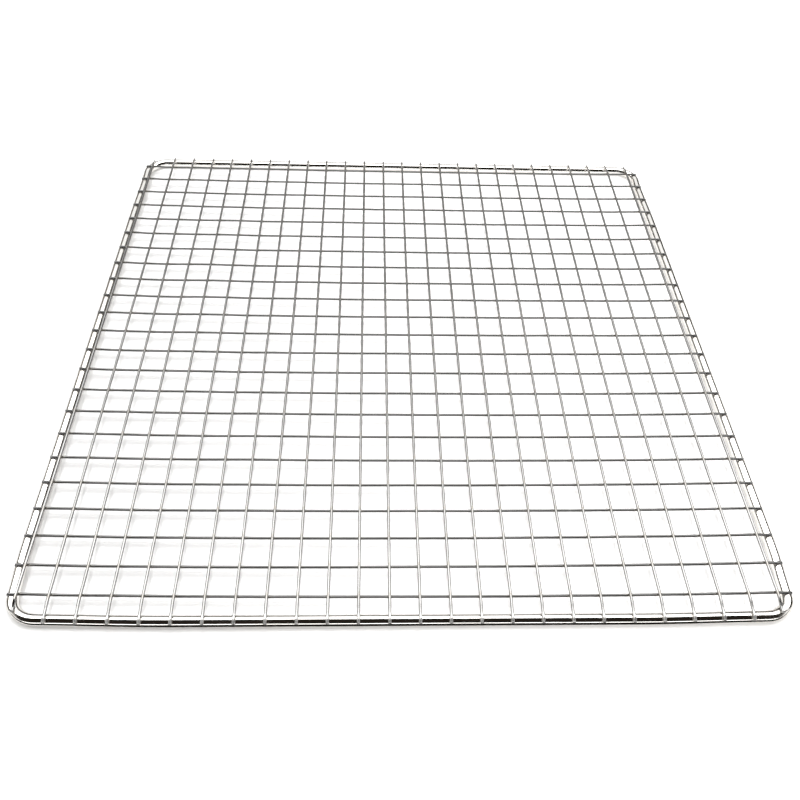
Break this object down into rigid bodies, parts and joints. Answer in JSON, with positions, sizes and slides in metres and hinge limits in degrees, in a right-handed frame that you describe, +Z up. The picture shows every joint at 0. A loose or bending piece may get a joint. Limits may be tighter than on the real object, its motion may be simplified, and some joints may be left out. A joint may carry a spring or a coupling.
{
  "type": "barbecue grill mesh",
  "caption": "Square welded wire mesh on a round-cornered rod frame; lies over a charcoal brazier or grill ledge and holds food over the heat.",
  "frame": {"origin": "middle of the square frame, on the plane its rod rests on", "axes": "+Z up, through the thin side of the mesh; +X to the right along the cross wires; +Y to the back along the long wires"},
  "size_m": [0.4, 0.4, 0.009],
  "materials": {
    "frame_steel": "bright polished stainless rod",
    "wire_steel": "bright drawn stainless wire"
  },
  "bodies": {
    "root": {"frame_rod": "frame_steel", "cross_wire_01": "wire_steel", "cross_wire_02": "wire_steel", "cross_wire_03": "wire_steel", "cross_wire_04": "wire_steel", "cross_wire_05": "wire_steel", "cross_wire_06": "wire_steel", "cross_wire_07": "wire_steel", "cross_wire_08": "wire_steel", "cross_wire_09": "wire_steel", "cross_wire_10": "wire_steel", "cross_wire_11": "wire_steel", "cross_wire_12": "wire_steel", "cross_wire_13": "wire_steel", "cross_wire_14": "wire_steel", "cross_wire_15": "wire_steel", "cross_wire_16": "wire_steel", "cross_wire_17": "wire_steel", "cross_wire_18": "wire_steel", "cross_wire_19": "wire_steel", "cross_wire_20": "wire_steel", "cross_wire_21": "wire_steel", "cross_wire_22": "wire_steel", "cross_wire_23": "wire_steel", "long_wire_01": "wire_steel", "long_wire_02": "wire_steel", "long_wire_03": "wire_steel", "long_wire_04": "wire_steel", "long_wire_05": "wire_steel", "long_wire_06": "wire_steel", "long_wire_07": "wire_steel", "long_wire_08": "wire_steel", "long_wire_09": "wire_steel", "long_wire_10": "wire_steel", "long_wire_11": "wire_steel", "long_wire_12": "wire_steel", "long_wire_13": "wire_steel", "long_wire_14": "wire_steel", "long_wire_15": "wire_steel", "long_wire_16": "wire_steel", "long_wire_17": "wire_steel", "long_wire_18": "wire_steel", "long_wire_19": "wire_steel", "long_wire_20": "wire_steel", "long_wire_21": "wire_steel", "long_wire_22": "wire_steel", "long_wire_23": "wire_steel", "long_wire_24": "wire_steel", "long_wire_25": "wire_steel", "long_wire_26": "wire_steel"}
  },
  "joints": []
}
